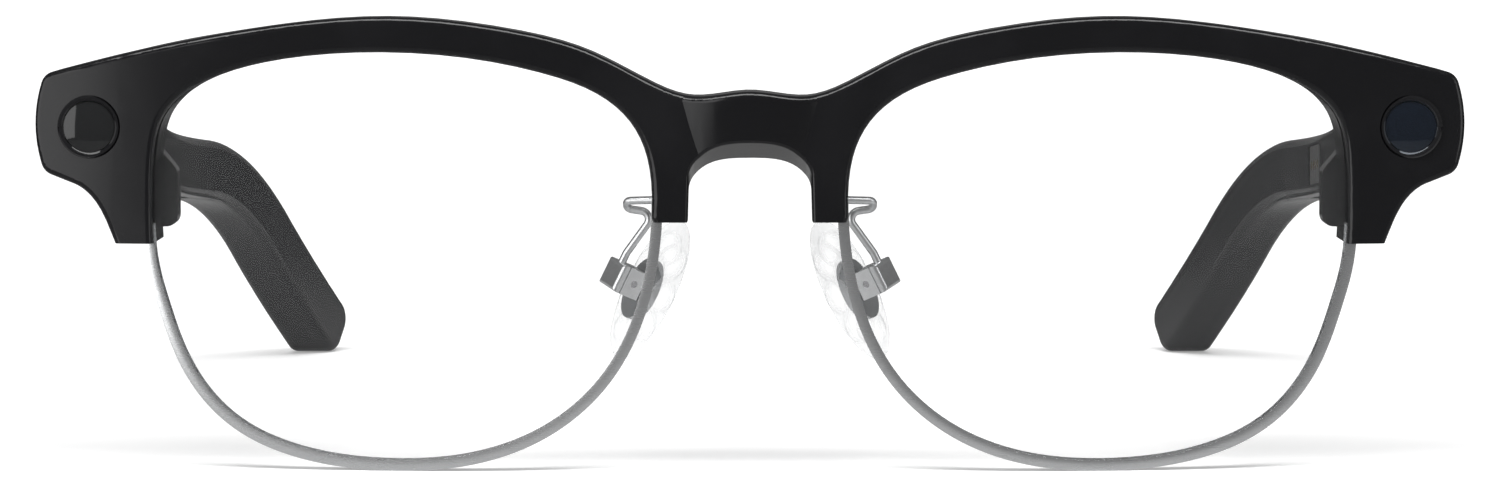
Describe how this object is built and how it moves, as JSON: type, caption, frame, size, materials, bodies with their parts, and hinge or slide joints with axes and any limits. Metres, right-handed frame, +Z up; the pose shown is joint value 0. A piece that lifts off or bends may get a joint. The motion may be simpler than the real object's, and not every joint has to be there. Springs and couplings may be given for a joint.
{
  "type": "smart glasses",
  "caption": "Browline smart glasses: glossy moulded front, wire lower rims, clear lenses, camera and light windows in the end pieces, adjustable nose pads and folding temples with electronics.",
  "frame": {"origin": "middle of the base of the bounding box: the plane that the rim bottoms and temple tips stand on", "axes": "+Z up, +X to the viewer's right seen from the front, front faces -Y, temples run back along +Y"},
  "size_m": [0.1492, 0.1444, 0.0473],
  "materials": {
    "front_plastic": "polished",
    "temple_plastic": "polished",
    "temple_inner": "satin gloss",
    "rim_metal": "polished",
    "screw_metal": "satin",
    "hinge_metal": "satin",
    "lens_clear": "clear",
    "pad_silicone": "clear soft",
    "insert_grey": "satin",
    "bezel_black": "polished",
    "camera_glass": "dark",
    "dark_glass": "dark",
    "module_black": "matte",
    "camera_element": "coated",
    "circuit_board": "lacquered",
    "sensor_die": "polished",
    "light_guide": "frosted",
    "flex_amber": "satin",
    "battery_pouch": "satin",
    "grille_mesh": "black coated",
    "switch_body": "matte",
    "button_plastic": "satin gloss",
    "pad_plate": "matte",
    "contact_gold": "gold plated"
  },
  "bodies": {
    "front": {"brow_frame": "front_plastic", "cable_cover": "front_plastic", "camera_barrel": "module_black", "camera_bezel": "bezel_black", "camera_board": "circuit_board", "camera_glass": "camera_element", "camera_sensor": "sensor_die", "camera_window": "camera_glass", "cover_screws": "screw_metal", "end_cover_left": "front_plastic", "end_cover_right": "front_plastic", "front_flex": "flex_amber", "hinge_front_left": "hinge_metal", "hinge_front_right": "hinge_metal", "hinge_pin_left": "screw_metal", "hinge_pin_right": "screw_metal", "lens_left": "lens_clear", "lens_right": "lens_clear", "light_bezel": "bezel_black", "light_board": "circuit_board", "light_pipe": "light_guide", "light_window": "dark_glass", "nose_arm_left": "rim_metal", "nose_arm_right": "rim_metal", "pad_box_left": "rim_metal", "pad_box_right": "rim_metal", "pad_screw_left": "screw_metal", "pad_screw_right": "screw_metal", "rim_screws": "screw_metal", "rim_wire_left": "rim_metal", "rim_wire_right": "rim_metal"},
    "temple_right": {"battery_right": "battery_pouch", "button_switch_right": "switch_body", "charging_contacts": "contact_gold", "charging_pad": "pad_plate", "hinge_temple_right": "hinge_metal", "leaf_screws_right": "screw_metal", "microphone_right": "module_black", "speaker_grille_right": "grille_mesh", "speaker_right": "module_black", "temple_board_right": "circuit_board", "temple_cover_right": "temple_inner", "temple_shell_right": "temple_plastic", "touch_strip": "flex_amber"},
    "temple_left": {"battery_left": "battery_pouch", "button_switch_left": "switch_body", "hinge_temple_left": "hinge_metal", "leaf_screws_left": "screw_metal", "microphone_left": "module_black", "speaker_grille_left": "grille_mesh", "speaker_left": "module_black", "temple_board_left": "circuit_board", "temple_cover_left": "temple_inner", "temple_shell_left": "temple_plastic"},
    "nose_pad_right": {"nose_pad_right": "pad_silicone", "pad_insert_right": "insert_grey"},
    "nose_pad_left": {"nose_pad_left": "pad_silicone", "pad_insert_left": "insert_grey"},
    "capture_button": {"capture_button": "button_plastic"},
    "power_button": {"power_button": "button_plastic"}
  },
  "joints": [
    {"name": "right_temple_fold", "type": "hinge", "parent": "front", "child": "temple_right", "pos_m": [0.064, -0.05026, 0.03317], "axis": [0, 0.0906, 0.9959], "range_deg": [0, 78]},
    {"name": "left_temple_fold", "type": "hinge", "parent": "front", "child": "temple_left", "pos_m": [-0.064, -0.05026, 0.03317], "axis": [0, -0.0906, -0.9959], "range_deg": [0, 88]},
    {"name": "right_pad_rock", "type": "hinge", "parent": "front", "child": "nose_pad_right", "pos_m": [0.013, -0.06116, 0.01947], "axis": [0.4858, 0.8414, 0.2369], "range_deg": [-12, 12]},
    {"name": "left_pad_rock", "type": "hinge", "parent": "front", "child": "nose_pad_left", "pos_m": [-0.013, -0.06116, 0.01947], "axis": [0.4858, -0.8414, -0.2369], "range_deg": [-12, 12]},
    {"name": "capture_press", "type": "slide", "parent": "temple_right", "child": "capture_button", "axis": [0, -0.0906, -0.9959], "range_m": [0, 0.0004], "stiffness_N_per_m": 1500},
    {"name": "power_press", "type": "slide", "parent": "temple_left", "child": "power_button", "axis": [0, -0.0906, -0.9959], "range_m": [0, 0.0004], "stiffness_N_per_m": 1500}
  ]
}
